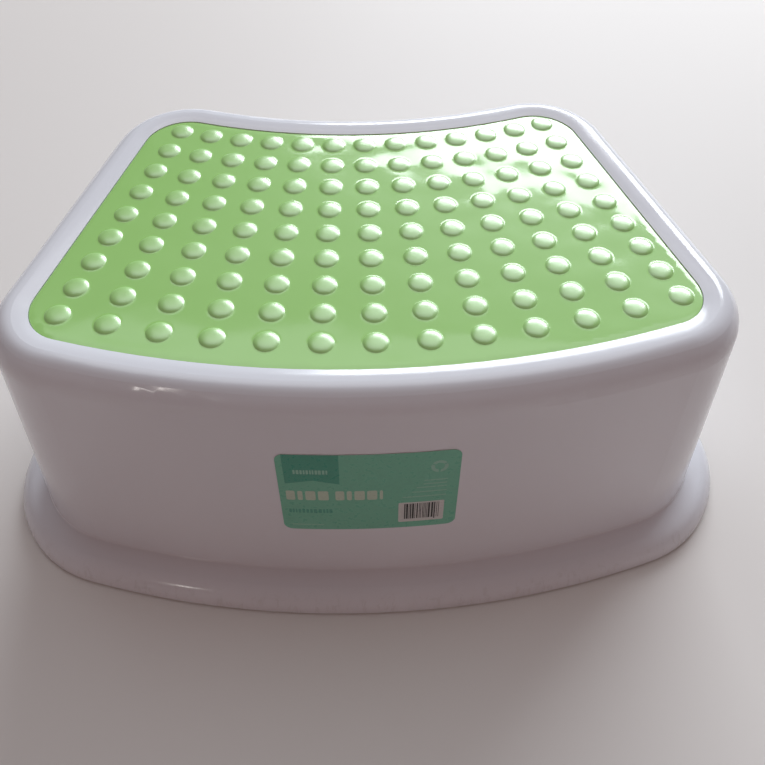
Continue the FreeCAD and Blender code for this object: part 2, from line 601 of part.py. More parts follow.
row_dir = new_sketch(mat, "XY_Plane", "row_direction")
row_dir.AttachmentOffset = Placement(Vector(), Rotation(Vector(0, 0, 1), math.degrees(t0)))
row_dir.setExpression("AttachmentOffset.Rotation.Angle", T0)
row_dir.addGeometry(Part.Point(Vector(0, 0, 0)), True)
row_dir.addConstraint(C("Coincident", 0, 1, -1, 1))
dome_axis = axis_sketch(mat, "dome_axis", "Dims.dome_centre_y", "Dims.dome_centre_x")
doc.recompute()
domes = mat.newObject("PartDesign::MultiTransform", "domes")
domes.Originals = [dome]
rows = mat.newObject("PartDesign::LinearPattern", "dome_rows")
rows.Direction = (row_dir, ["V_Axis"])
rows.Reversed = True
rows.Mode = "Extent"
rows.setExpression("Length", "(Dims.dome_rows - 1) * Dims.dome_pitch")
rows.Occurrences = 9
cols = mat.newObject("PartDesign::PolarPattern", "dome_columns")
cols.Axis = (dome_axis, ["N_Axis"])
cols.Mode = "Extent"
cols.setExpression("Angle", "(Dims.dome_columns - 1) * Dims.dome_step * 1deg")
cols.Occurrences = 13
rows.setExpression("Occurrences", "Dims.dome_rows")
cols.setExpression("Occurrences", "Dims.dome_columns")
domes.Transformations = [rows, cols]
mat.Tip = domes
doc.recompute()

# ------------------------------------------------------------ front label

label = doc.addObject("PartDesign::Body", "front_label")
film_sk = new_sketch(label, "YZ_Plane", "label_section")
draft = math.radians(D["draft"])
roll = Vector(cy - D["front_radius"] - D["rim_reach"] + D["rim_radius"],
              D["rim_top"] - D["crown_radius"] + (D["crown_radius"] - D["rim_radius"])
              * math.cos(math.radians(D["crown_angle"])), 0)
zt = D["label_centre_z"] + D["label_height"] / 2 + 4
zb = D["label_centre_z"] - D["label_height"] / 2 - 4


def wall_y(off, z):
    """Y of the line parallel to the wall, off outside it, at height z."""
    return (roll.x - (D["rim_radius"] + off) / math.cos(draft)
            + (z - roll.y) * math.tan(draft))


g, f = D["label_gap"], D["label_gap"] + D["label_film"]
film_sk.addGeometry(Part.LineSegment(Vector(cy, 0, 0), Vector(cy, 60, 0)), True)
film_sk.addGeometry([
    Part.LineSegment(Vector(wall_y(g, zt), zt, 0), Vector(wall_y(g, zb), zb, 0)),
    Part.LineSegment(Vector(wall_y(g, zb), zb, 0), Vector(wall_y(f, zb), zb, 0)),
    Part.LineSegment(Vector(wall_y(f, zb), zb, 0), Vector(wall_y(f, zt), zt, 0)),
    Part.LineSegment(Vector(wall_y(f, zt), zt, 0), Vector(wall_y(g, zt), zt, 0))], False)
film_sk.addGeometry(Part.Point(roll), True)
film_sk.addConstraint([
    C("Vertical", 0), C("PointOnObject", 0, 1, -1), C("DistanceY", 0, 1, 0, 2, 60.0),
    C("Coincident", 1, 2, 2, 1), C("Coincident", 2, 2, 3, 1),
    C("Coincident", 3, 2, 4, 1), C("Coincident", 4, 2, 1, 1),
    C("Horizontal", 2), C("Horizontal", 4), C("Parallel", 1, 3)])
dim(film_sk, "DistanceX", (-1, 1, 0, 1), "axis_y", "Dims.arc_centre_y", cy)
dim(film_sk, "DistanceX", (-1, 1, 5, 1), "roll_y",
    ROLL_Y, roll.x)
dim(film_sk, "DistanceY", (-1, 1, 5, 1), "roll_z", ROLL_Z, roll.y)
dim(film_sk, "Angle", (-2, 1, 1, 2), "lean", "-Dims.draft * 1deg", -draft)
dim(film_sk, "Distance", (5, 1, 1), "inside", "Dims.rim_radius + Dims.label_gap",
    D["rim_radius"] + g)
dim(film_sk, "Distance", (5, 1, 3), "outside",
    "Dims.rim_radius + Dims.label_gap + Dims.label_film", D["rim_radius"] + f)
dim(film_sk, "DistanceY", (-1, 1, 1, 1), "film_top",
    "Dims.label_centre_z + Dims.label_height / 2 + 4", zt)
dim(film_sk, "DistanceY", (-1, 1, 1, 2), "film_bottom",
    "Dims.label_centre_z - Dims.label_height / 2 - 4", zb)
doc.recompute()
film = label.newObject("PartDesign::Revolution", "label_film")
film.Profile = film_sk
film.ReferenceAxis = (film_sk, ["Axis0"])
film.Angle = 16.0
film.Midplane = True
doc.recompute()

cut_sk = new_sketch(label, "XZ_Plane", "label_outline")
cut_sk.setExpression("AttachmentOffset.Base.x", "Dims.label_centre_x")
cut_sk.setExpression("AttachmentOffset.Base.y", "Dims.label_centre_z")
cut_sk.AttachmentOffset = Placement(Vector(D["label_centre_x"], D["label_centre_z"], 0),
                                    Rotation(Vector(0, 0, 1), D["label_tilt"]))
cut_sk.setExpression("AttachmentOffset.Rotation.Angle", "Dims.label_tilt * 1deg")
lw, lh, lr = D["label_width"] / 2, D["label_height"] / 2 * math.cos(draft), D["label_corner"]
zax = Vector(0, 0, 1)


def arc(x, y, a0, a1):
    return Part.ArcOfCircle(Part.Circle(Vector(x, y, 0), zax, lr),
                            math.radians(a0), math.radians(a1))


cut_sk.addGeometry([
    Part.LineSegment(Vector(-lw + lr, -lh, 0), Vector(lw - lr, -lh, 0)),
    arc(lw - lr, -lh + lr, 270, 360),
    Part.LineSegment(Vector(lw, -lh + lr, 0), Vector(lw, lh - lr, 0)),
    arc(lw - lr, lh - lr, 0, 90),
    Part.LineSegment(Vector(lw - lr, lh, 0), Vector(-lw + lr, lh, 0)),
    arc(-lw + lr, lh - lr, 90, 180),
    Part.LineSegment(Vector(-lw, lh - lr, 0), Vector(-lw, -lh + lr, 0)),
    arc(-lw + lr, -lh + lr, 180, 270)], False)
for a, b in ((0, 1), (1, 2), (2, 3), (3, 4), (4, 5), (5, 6), (6, 7), (7, 0)):
    cut_sk.addConstraint(C("Tangent", a, 2, b, 1))
cut_sk.addConstraint([C("Horizontal", 0), C("Vertical", 2), C("Horizontal", 4),
                      C("Vertical", 6), C("Equal", 1, 3), C("Equal", 3, 5),
                      C("Equal", 5, 7)])
dim(cut_sk, "Radius", (1,), "corner", "Dims.label_corner", lr)
dim(cut_sk, "DistanceX", (-1, 1, 2, 1), "half_w", "Dims.label_width / 2", lw)
dim(cut_sk, "DistanceX", (6, 1, 2, 2), "full_w", "Dims.label_width", 2 * lw)
dim(cut_sk, "DistanceY", (-1, 1, 4, 1), "half_h",
    "Dims.label_height / 2 * cos(Dims.draft * 1deg)", lh)
dim(cut_sk, "DistanceY", (0, 1, 4, 2), "full_h",
    "Dims.label_height * cos(Dims.draft * 1deg)", 2 * lh)
bw, bh = lw + 40, lh + 20
big = [Vector(-bw, -bh, 0), Vector(bw, -bh, 0), Vector(bw, bh, 0), Vector(-bw, bh, 0)]
cut_sk.addGeometry([Part.LineSegment(big[a], big[(a + 1) % 4]) for a in range(4)], False)
for a in range(4):
    cut_sk.addConstraint(C("Coincident", 8 + a, 2, 8 + (a + 1) % 4, 1))
cut_sk.addConstraint([C("Horizontal", 8), C("Vertical", 9), C("Horizontal", 10),
                      C("Vertical", 11), C("DistanceX", -1, 1, 8, 2, bw),
                      C("DistanceX", 8, 1, -1, 1, bw), C("DistanceY", -1, 1, 10, 1, bh),
                      C("DistanceY", 8, 1, -1, 1, bh)])
doc.recompute()
trim = label.newObject("PartDesign::Pocket", "label_trim")
trim.Profile = cut_sk
trim.Type = "ThroughAll"
trim.Midplane = True
doc.recompute()


# -------------------------------------------------------------- foot pads

feet = []
for node, ex, x, ey, y in FEET:
    foot = doc.addObject("PartDesign::Body", node)
    disc_sk = new_sketch(foot, "XY_Plane", node + "_disc_circle")
    disc_sk.addGeometry(Part.Circle(Vector(), zax, D["pad_radius"]), False)
    disc_sk.addConstraint(C("Coincident", 0, 3, -1, 1))
    dim(disc_sk, "Radius", (0,), "r", "Dims.pad_radius", D["pad_radius"])
    disc = foot.newObject("PartDesign::Pad", node + "_disc")
    disc.Profile = disc_sk
    disc.setExpression("Length", "Dims.foot_height")
    stem_sk = new_sketch(foot, "XY_Plane", node + "_stem_circle", "Dims.foot_height")
    stem_sk.addGeometry(Part.Circle(Vector(), zax, D["stem_radius"]), False)
    stem_sk.addConstraint(C("Coincident", 0, 3, -1, 1))
    dim(stem_sk, "Radius", (0,), "r", "Dims.stem_radius", D["stem_radius"])
    doc.recompute()
    stem = foot.newObject("PartDesign::Pad", node + "_stem")
    stem.Profile = stem_sk
    stem.setExpression("Length", "Dims.stem_length")
    doc.recompute()
    low = ["Edge%d" % (k + 1) for k, e in enumerate(stem.Shape.Edges)
           if abs(e.BoundBox.ZMax) < 1e-4]
    edge = foot.newObject("PartDesign::Chamfer", node + "_edge")
    edge.Base = (stem, low)
    edge.setExpression("Size", "Dims.pad_chamfer")
    foot.Tip = edge
    if ex is not None:
        foot.setExpression("Placement.Base.x", ex)
    foot.setExpression("Placement.Base.y", ey)
    doc.recompute()
    feet.append(foot)


# ----------------------------------------------------------------- export

NODES = [shell, mat, label] + feet
for ob in doc.Objects:
    if any(word in ob.State for word in ("Invalid", "Error")):
        raise RuntimeError("%s: %s" % (ob.Name, ob.State))
for ob in NODES:
    shape = ob.Shape
    if shape.isNull() or not shape.isValid() or len(shape.Solids) != 1:
        raise RuntimeError("bad shape: " + ob.Label)

os.makedirs("parts", exist_ok=True)
for ob in NODES:
    ob.Shape.exportStep(os.path.join("parts", ob.Label + ".step"))
    box = ob.Shape.optimalBoundingBox(False, False)
    print("%-24s %10.1f mm3  x %.2f..%.2f  y %.2f..%.2f  z %.2f..%.2f" % (
        ob.Label, ob.Shape.Volume, box.XMin, box.XMax, box.YMin, box.YMax,
        box.ZMin, box.ZMax))
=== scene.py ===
import bpy, bmesh, math, random
from mathutils import Vector, Matrix, noise
from mathutils.geometry import delaunay_2d_cdt


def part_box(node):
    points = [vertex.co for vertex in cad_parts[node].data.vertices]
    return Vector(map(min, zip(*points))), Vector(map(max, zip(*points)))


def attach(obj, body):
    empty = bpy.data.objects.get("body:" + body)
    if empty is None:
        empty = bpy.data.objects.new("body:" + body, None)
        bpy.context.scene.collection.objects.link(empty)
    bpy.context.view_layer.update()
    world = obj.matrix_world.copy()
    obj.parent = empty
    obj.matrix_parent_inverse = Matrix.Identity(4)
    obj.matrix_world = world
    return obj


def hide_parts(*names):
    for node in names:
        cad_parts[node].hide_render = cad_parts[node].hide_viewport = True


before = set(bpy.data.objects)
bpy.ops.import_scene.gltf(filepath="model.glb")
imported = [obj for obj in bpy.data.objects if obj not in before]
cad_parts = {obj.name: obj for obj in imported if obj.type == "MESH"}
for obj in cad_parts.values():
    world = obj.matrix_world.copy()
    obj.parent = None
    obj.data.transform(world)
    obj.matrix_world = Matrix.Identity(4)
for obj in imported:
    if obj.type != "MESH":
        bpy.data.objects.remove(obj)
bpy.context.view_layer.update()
scene = bpy.context.scene

# ---------------------------------------------------------------- measures
# millimetres in this section; metres in every mesh
CY = 375.60                      # centre of the front and back arcs
R_FRONT, R_BACK = 465.0, 300.7
SIDE, TILT = 134.106, math.radians(17.15)
C_FRONT, C_BACK = 20.0, 23.0
MAT_LO, MAT_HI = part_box("tread_mat")
DECK_Z = MAT_LO.z * 1000
MAT_Z = 149.1
LABEL_LO, LABEL_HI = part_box("front_label")
DRAFT = math.radians(5.62)


def smooth(t):
    t = min(1.0, max(0.0, t))
    return t * t * (3 - 2 * t)


def corner_centre(radius_to_arc, corner):
    """Centre of the corner arc on the right, from the arc centre and the side line."""
    n = Vector((math.cos(TILT), math.sin(TILT)))
    d = SIDE - corner
    # point p with p.n = d and |p - (0, CY)| = radius_to_arc
    foot = n * d
    c = Vector((0.0, CY))
    along = Vector((n.y, -n.x))
    w = foot - c
    b = w.dot(along)
    disc = b * b - (w.dot(w) - radius_to_arc ** 2)
    roots = [foot + along * (-b + s * math.sqrt(disc)) for s in (1, -1)]
    return min(roots, key=lambda p: p.length)


PF = corner_centre(R_FRONT - C_FRONT, C_FRONT)
PB = corner_centre(R_BACK + C_BACK, C_BACK)


def ang(v):
    return math.atan2(v.y, v.x)


def outline(off, step=3.0):
    """Closed outline, anticlockwise from the middle of the front; off in mm
    outward of the recess outline. The count doesn't depend on off."""
    c = Vector((0.0, CY))
    af = ang(PF - c)                       # -90 deg .. towards the right
    ab = ang(c - PB)                       # outward normal at the back corner
    half = []
    n = max(2, int((af + math.pi / 2) * R_FRONT / step))
    for i in range(n):
        a = -math.pi / 2 + (af + math.pi / 2) * i / n
        half.append(c + Vector((math.cos(a), math.sin(a))) * (R_FRONT + off))
    n = max(6, int((TILT - af) * 40 / step))
    for i in range(n):
        a = af + (TILT - af) * i / n
        half.append(PF + Vector((math.cos(a), math.sin(a))) * (C_FRONT + off))
    n1 = Vector((math.cos(TILT), math.sin(TILT)))
    p0, p1 = PF + n1 * (C_FRONT + off), PB + n1 * (C_BACK + off)
    n = max(2, int((p1 - p0).length / step + 0.01 * off))
    n = max(2, int(((PB - PF).length) / step))
    for i in range(n):
        half.append(p0.lerp(p1, i / n))
    n = max(6, int((ab - TILT) * 40 / step))
    for i in range(n):
        a = TILT + (ab - TILT) * i / n
        half.append(PB + Vector((math.cos(a), math.sin(a))) * (C_BACK + off))
    a0 = ang(PB - c)
    a0 = a0 if a0 < 0 else a0 - 2 * math.pi
    n = max(2, int((a0 + math.pi / 2) * R_BACK / step))
    for i in range(n + 1):
        a = a0 + (-math.pi / 2 - a0) * i / n
        half.append(c + Vector((math.cos(a), math.sin(a))) * (R_BACK - off))
    left = [Vector((-p.x, p.y)) for p in half[1:-1]]
    return half + left[::-1]


# --------------------------------------------------------------- materials

def nodes_of(name, colour, rough):
    m = bpy.data.materials.new(name)
    m.use_nodes = True
    nt = m.node_tree
    p = nt.nodes["Principled BSDF"]
    p.inputs["Base Color"].default_value = (*colour, 1)
    p.inputs["Roughness"].default_value = rough
    return m, nt, p


def coords(nt, scale):
    tc = nt.nodes.new("ShaderNodeTexCoord")
    mp = nt.nodes.new("ShaderNodeMapping")
    mp.inputs["Scale"].default_value = scale if hasattr(scale, "__len__") else (scale,) * 3
    nt.links.new(tc.outputs["Object"], mp.inputs["Vector"])
    return mp.outputs["Vector"]


def noise_tex(nt, scale, detail=3.0, roughness=0.5, distortion=0.0):
    n = nt.nodes.new("ShaderNodeTexNoise")
    n.inputs["Scale"].default_value = 1.0
    n.inputs["Detail"].default_value = detail
    n.inputs["Roughness"].default_value = roughness
    n.inputs["Distortion"].default_value = distortion
    nt.links.new(coords(nt, scale), n.inputs["Vector"])
    return n.outputs["Fac"]


def ramp(nt, value, lo, hi, out_lo=0.0, out_hi=1.0):
    r = nt.nodes.new("ShaderNodeMapRange")
    r.interpolation_type = "SMOOTHSTEP"
    for k, v in (("From Min", lo), ("From Max", hi), ("To Min", out_lo), ("To Max", out_hi)):
        r.inputs[k].default_value = v
    nt.links.new(value, r.inputs["Value"])
    return r.outputs["Result"]


def math_node(nt, op, a, b):
    n = nt.nodes.new("ShaderNodeMath")
    n.operation = op
    for i, v in enumerate((a, b)):
        if hasattr(v, "is_linked"):
            nt.links.new(v, n.inputs[i])
        else:
            n.inputs[i].default_value = v
    return n.outputs[0]


def mix_colour(nt, fac, a, b):
    n = nt.nodes.new("ShaderNodeMix")
    n.data_type = "RGBA"
    if hasattr(fac, "is_linked"):
        nt.links.new(fac, n.inputs["Factor"])
    else:
        n.inputs["Factor"].default_value = fac
    for k, v in ((6, a), (7, b)):
        if hasattr(v, "is_linked"):
            nt.links.new(v, n.inputs[k])
        else:
            n.inputs[k].default_value = (*v, 1)
    return n.outputs[2]


def bump(nt, p, layers):
    """layers: (height output, distance in metres, strength)."""
    prev = None
    for height, distance, strength in layers:
        b = nt.nodes.new("ShaderNodeBump")
        b.inputs["Distance"].default_value = distance
        b.inputs["Strength"].default_value = strength
        nt.links.new(height, b.inputs["Height"])
        if prev is not None:
            nt.links.new(prev, b.inputs["Normal"])
        prev = b.outputs["Normal"]
    nt.links.new(prev, p.inputs["Normal"])


def height_z(nt):
    tc = nt.nodes.new("ShaderNodeTexCoord")
    sp = nt.nodes.new("ShaderNodeSeparateXYZ")
    nt.links.new(tc.outputs["Object"], sp.inputs[0])
    return sp.outputs["Z"]


def shell_material():
    m, nt, p = nodes_of("shell_plastic", (0.80, 0.81, 0.86), 0.2)
    broad = noise_tex(nt, 7.0, 2.0)
    fine = noise_tex(nt, 60.0, 4.0, 0.6)
    col = mix_colour(nt, ramp(nt, broad, 0.3, 0.7), (0.79, 0.80, 0.86), (0.82, 0.83, 0.89))
    # darker grey and rougher in streaky patches within about 16 mm of the floor, fully so in the lowest 3 mm
    streak_noise = noise_tex(nt, (260.0, 260.0, 30.0), 5.0, 0.7, 0.6)
    low = ramp(nt, height_z(nt), 0.003, 0.016, 1.0, 0.0)
    darker_low_patches = math_node(nt, "MULTIPLY", ramp(nt, streak_noise, 0.5, 0.72), low)
    col = mix_colour(nt, math_node(nt, "MULTIPLY", darker_low_patches, 0.45), col, (0.45, 0.43, 0.42))
    nt.links.new(col, p.inputs["Base Color"])
    r = ramp(nt, fine, 0.3, 0.75, 0.11, 0.17)
    r = math_node(nt, "ADD", r, math_node(nt, "MULTIPLY", darker_low_patches, 0.3))
    nt.links.new(r, p.inputs["Roughness"])
    p.inputs["IOR"].default_value = 1.49
    bump(nt, p, [(noise_tex(nt, 22.0, 1.0), 0.00035, 0.35),
                 (noise_tex(nt, 650.0, 2.0), 0.00002, 0.35)])
    return m


def sheet_material(name, colour_a, colour_b, rough_lo, rough_hi, coat=0.0, spec=0.5, coat_rough=0.07):
    m, nt, p = nodes_of(name, colour_a, rough_lo)
    if coat:
        p.inputs["Coat Weight"].default_value = coat
        p.inputs["Coat Roughness"].default_value = coat_rough
        p.inputs["Coat IOR"].default_value = 1.65
    broad = noise_tex(nt, 11.0, 3.0)
    fine = noise_tex(nt, 140.0, 4.0, 0.6)
    col = mix_colour(nt, ramp(nt, broad, 0.3, 0.7), colour_a, colour_b)
    nt.links.new(col, p.inputs["Base Color"])
    nt.links.new(ramp(nt, fine, 0.3, 0.75, rough_lo, rough_hi), p.inputs["Roughness"])
    p.inputs["IOR"].default_value = 1.5
    p.inputs["Specular IOR Level"].default_value = spec
    bump(nt, p, [(noise_tex(nt, 105.0, 2.0), 0.00012, 0.35),
                 (noise_tex(nt, 900.0, 2.0), 0.00002, 0.25)])
    return m


def rubber_material():
    m, nt, p = nodes_of("foot_rubber", (0.10, 0.10, 0.105), 0.6)
    spot = noise_tex(nt, 500.0, 4.0, 0.7)
    col = mix_colour(nt, ramp(nt, spot, 0.35, 0.7), (0.085, 0.086, 0.09), (0.15, 0.148, 0.145))
    nt.links.new(col, p.inputs["Base Color"])
    nt.links.new(ramp(nt, spot, 0.3, 0.7, 0.5, 0.75), p.inputs["Roughness"])
    bump(nt, p, [(noise_tex(nt, 1800.0, 3.0), 0.00006, 0.5)])
    return m


def print_material(name, colour, rough=0.3):
    m, nt, p = nodes_of(name, colour, rough)
    fine = noise_tex(nt, 420.0, 3.0, 0.6)
    dark = tuple(c * 0.93 for c in colour)
    nt.links.new(mix_colour(nt, ramp(nt, fine, 0.35, 0.7), colour, dark), p.inputs["Base Color"])
    nt.links.new(ramp(nt, fine, 0.3, 0.7, rough - 0.04, rough + 0.05), p.inputs["Roughness"])
    bump(nt, p, [(noise_tex(nt, 60.0, 2.0), 0.00005, 0.2)])
    return m


def floor_material():
    m, nt, p = nodes_of("floor_paint", (0.88, 0.88, 0.88), 0.6)
    n = noise_tex(nt, 3.0, 3.0)
    nt.links.new(mix_colour(nt, n, (0.74, 0.705, 0.685), (0.76, 0.725, 0.705)), p.inputs["Base Color"])
    p.inputs["Emission Color"].default_value = (1.0, 0.95, 0.93, 1)
    p.inputs["Emission Strength"].default_value = 0.02
    return m


def set_materials(obj, *mats):
    obj.data.materials.clear()
    for m in mats:
        obj.data.materials.append(m)


def new_object(name, verts, faces, mats, index=None, smooth_faces=True):
    me = bpy.data.meshes.new(name)
    me.from_pydata([tuple(c / 1000 for c in v) for v in verts], [], faces)
    for m in mats:
        me.materials.append(m)
    if index:
        me.polygons.foreach_set("material_index", index)
    me.polygons.foreach_set("use_smooth", [smooth_faces] * len(me.polygons))
    me.validate()
    me.update()
    o = bpy.data.objects.new(name, me)
    scene.collection.objects.link(o)
    return o


# ------------------------------------------------------- shell and feet

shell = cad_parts["stool_shell"]
set_materials(shell, shell_material())
rubber = rubber_material()
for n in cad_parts:
    if n.startswith("foot_pad"):
        set_materials(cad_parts[n], rubber)

# ------------------------------------------------------------- tread mat

DOME_CX, DOME_CY, DOME_TURN = -1.34, 393.20, math.radians(0.374)
DOME_R0, DOME_PITCH, DOME_STEP = 327.5, 17.5, math.radians(2.957)
ROWS, COLS = 9, 13
DOME_A = 5.9
DOME_H = 1.25


def dome_centre(i, j):
    """Middle of the dome in row i (from the back), column j (0 in the middle)."""
    r, a = DOME_R0 + DOME_PITCH * i, DOME_STEP * j + DOME_TURN
    return Vector((DOME_CX + r * math.sin(a), DOME_CY - r * math.cos(a)))


def nearest_dome(p):
    """Distance to the nearest dome's middle."""
    v = p - Vector((DOME_CX, DOME_CY))
    i = round((v.length - DOME_R0) / DOME_PITCH)
    j = round((math.atan2(v.x, -v.y) - DOME_TURN) / DOME_STEP)
    i = min(ROWS - 1, max(0, i))
    j = min((COLS - 1) // 2, max(-((COLS - 1) // 2), j))
    return (p - dome_centre(i, j)).length


def wave(x, y):
    """Gentle unevenness of the soft sheet, mm."""
    p = Vector((x / 46.0, y / 40.0, 3.7))
    q = Vector((x / 17.0, y / 15.0, 9.1))
    # it pulls and puckers most towards the back right
    pull = smooth((x + 0.9 * y + 60.0) / 200.0)
    t = Vector((x / 8.5, y / 7.5, 4.4))
    return (0.16 * noise.noise(p) + (0.05 + 0.15 * pull) * noise.noise(q)
            + (0.006 + 0.035 * pull) * noise.noise(t))


def build_mat():
    edge = outline(-0.50)
    domes = []
    for i in range(ROWS):
        for j in range(COLS):
            domes.append(dome_centre(i, j - (COLS - 1) // 2))
    seg = 32
    pts, heights, loops = [], [], []

    def room(p):
        # distance to the outline, cheaply
        d = min(SIDE - (abs(p.x) * math.cos(TILT) + p.y * math.sin(TILT)),
                R_FRONT - (p - Vector((0, CY))).length,
                (p - Vector((0, CY))).length - R_BACK)
        ax = Vector((abs(p.x), p.y))
        for pc, cr, sign in ((PF, C_FRONT, -1), (PB, C_BACK, 1)):
            v = ax - pc
            if v.x > 0 and v.y * sign > 0:
                d = min(d, cr - v.length)
        return d

    def fade(p):
        return smooth(room(p) / 9.0)

    def add(p, h):
        pts.append(p.copy())
        heights.append(h + wave(p.x, p.y) * fade(p))
        return len(pts) - 1

    outer = [add(p, 0.0) for p in edge]
    loops.append([(outer[k], outer[(k + 1) % len(outer)]) for k in range(len(outer))])
    # (radius, height) rings of one dome: soft foot, then a full, flat-topped cap
    prof = [(DOME_A + 0.30, 0.0), (DOME_A + 0.12, 0.015), (DOME_A + 0.01, 0.06)]
    for f in (0.98, 0.95, 0.90, 0.82, 0.72, 0.60, 0.45, 0.30, 0.15):
        prof.append((DOME_A * f, DOME_H * (1 - f ** 3) ** 0.8))
    for c in domes:
        first = None
        for k, (r, h) in enumerate(prof):
            ring = []
            n = seg if r > 3 else (16 if r > 1.5 else 8)
            for s in range(n):
                a = 2 * math.pi * (s + 0.5 * (k % 2)) / n
                ring.append(add(c + Vector((math.cos(a), math.sin(a))) * r, h))
            if k == 0:
                loops.append([(ring[s], ring[(s + 1) % n]) for s in range(n)])
        add(c, DOME_H)
        # a ring just outside the foot, so that the sheet meets it evenly
        for s in range(20):
            a = 2 * math.pi * s / 20
            p = c + Vector((math.cos(a), math.sin(a))) * (DOME_A + 1.35)
            if room(p) > 1.2:
                add(p, 0.0)
    # free grid between the domes
    g = 2.2
    yy = -92.0
    row = 0
    while yy < 92:
        xx = -156.0 + (g / 2 if row % 2 else 0)
        while xx < 156:
            p = Vector((xx, yy))
            q = p - Vector((0, CY))
            d = min(SIDE - 0.8 - (abs(p.x) * math.cos(TILT) + p.y * math.sin(TILT)),
                    R_FRONT - 0.8 - q.length, q.length - R_BACK - 0.8)
            ok = d > 1.6
            if ok:
                ax = Vector((abs(p.x), p.y))
                for pc, cr, sign in ((PF, C_FRONT, -1), (PB, C_BACK, 1)):
                    v = ax - pc
                    if v.x * math.cos(TILT) + v.y * math.sin(TILT) > 0 and v.length > cr - 2.4 \
                            and v.y * sign > -abs(v.x) * 0.4:
                        ok = v.length < cr - 2.4 and ok
                        if v.y * sign < 0 and v.length >= cr - 2.4 and d > 1.6:
                            ok = False
            if ok and nearest_dome(p) > DOME_A + 2.6:
                add(p, 0.0)
            xx += g
        yy += g * 0.87
        row += 1
    edges = [e for l in loops for e in l]
    v2, _, f2, ov, _, _ = delaunay_2d_cdt(pts, edges, [outer], 1, 1e-5)
    verts, faces, idx = [], [], []
    for k, p in enumerate(v2):
        h = heights[ov[k][0]] if ov[k] else 0.0
        verts.append((p.x, p.y, MAT_Z + h))
    ring_of = {}
    for k in range(len(v2)):
        for o in ov[k]:
            if o < len(outer):
                ring_of[o] = k
    for f in f2:
        c = sum((v2[k] for k in f), Vector((0, 0))) / len(f)
        faces.append(tuple(f))
        idx.append(1 if nearest_dome(c) < DOME_A + 0.02 else 0)
    # rounded edge, side and underside
    prev = [ring_of[k] for k in range(len(outer))]
    for off, z in ((-0.36, MAT_Z - 0.03), (-0.26, MAT_Z - 0.11), (-0.20, MAT_Z - 0.22),
                   (-0.17, MAT_Z - 0.38), (-0.17, DECK_Z)):
        ring = outline(off)
        base = len(verts)
        verts += [(p.x, p.y, z) for p in ring]
        cur = list(range(base, base + len(ring)))
        n = len(cur)
        for k in range(n):
            faces.append((prev[k], cur[k], cur[(k + 1) % n], prev[(k + 1) % n]))
            idx.append(0)
        prev = cur
    flat = [Vector((verts[k][0], verts[k][1])) for k in prev]
    vb, _, fb, ob, _, _ = delaunay_2d_cdt(flat, [], [list(range(len(flat)))], 1, 1e-5)
    m = [prev[o[0]] if o else None for o in ob]
    for f in fb:
        t = [m[k] for k in f]
        if None not in t:
            faces.append(tuple(reversed(t)))
            idx.append(0)
    sheet = sheet_material("tread_sheet", (0.365, 0.675, 0.20), (0.39, 0.70, 0.225), 0.34, 0.42, 0.78, 0.22)
    # the stud colour is the sheet's green made paler: a painted sheen on the stud tops, on top of their real
    # satin reflection
    stud = sheet_material("tread_stud_painted_sheen", (0.41, 0.735, 0.24), (0.44, 0.755, 0.27), 0.33, 0.40, 0.9, 1.0, 0.30)
    o = new_object("tread_mat_soft", verts, faces, [sheet, stud], idx)
    bm = bmesh.new()
    bm.from_mesh(o.data)
    bmesh.ops.recalc_face_normals(bm, faces=bm.faces)
    for e in bm.edges:
        if len(e.link_faces) == 2 and (
                e.calc_face_angle(0) > math.radians(60)
                or e.link_faces[0].material_index != e.link_faces[1].material_index):
            e.smooth = False
    bm.to_mesh(o.data)
    bm.free()
    return o


mat = build_mat()
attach(mat, "root")
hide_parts("tread_mat")

# ----------------------------------------------------------- front label

LX, LZ, LTILT = -2.8, 86.0, math.radians(0.3)
LW, LH, LR = 84.8, 60.0 * math.cos(DRAFT), 4.5
ROLL_R = 16.4
ROLL_Y, ROLL_Z = CY - R_FRONT - 3.3, 150.5 - 10.5 - 5.9 * math.cos(math.radians(40))


def wall_point(u, v, off):
    """Local label coordinates (mm, from its middle) to a point off the wall."""
    x = LX + u * math.cos(LTILT) - v * math.sin(LTILT)
    z = LZ + u * math.sin(LTILT) + v * math.cos(LTILT)
    y0 = ROLL_Y - (ROLL_R + off) / math.cos(DRAFT) + (z - ROLL_Z) * math.tan(DRAFT)
    r = CY - y0
    return (x, CY - math.sqrt(r * r - x * x), z)


def rounded(x0, y0, x1, y1, r, n=5):
    out = []
    for cx, cy, a0 in ((x1 - r, y0 + r, -90), (x1 - r, y1 - r, 0), (x0 + r, y1 - r, 90),
                       (x0 + r, y0 + r, 180)):
        for k in range(n + 1):
            a = math.radians(a0 + 90 * k / n)
            out.append(Vector((cx + r * math.cos(a), cy + r * math.sin(a))))
    return out


def circle(cx, cy, r, n=40, ry=None):
    ry = r if ry is None else ry
    return [Vector((cx + r * math.cos(2 * math.pi * k / n), cy + ry * math.sin(2 * math.pi * k / n)))
            for k in range(n)]


def inside(poly, p):
    hit = False
    for a, b in zip(poly, poly[1:] + poly[:1]):
        if (a.y > p.y) != (b.y > p.y) and p.x < (b.x - a.x) * (p.y - a.y) / (b.y - a.y) + a.x:
            hit = not hit
    return hit


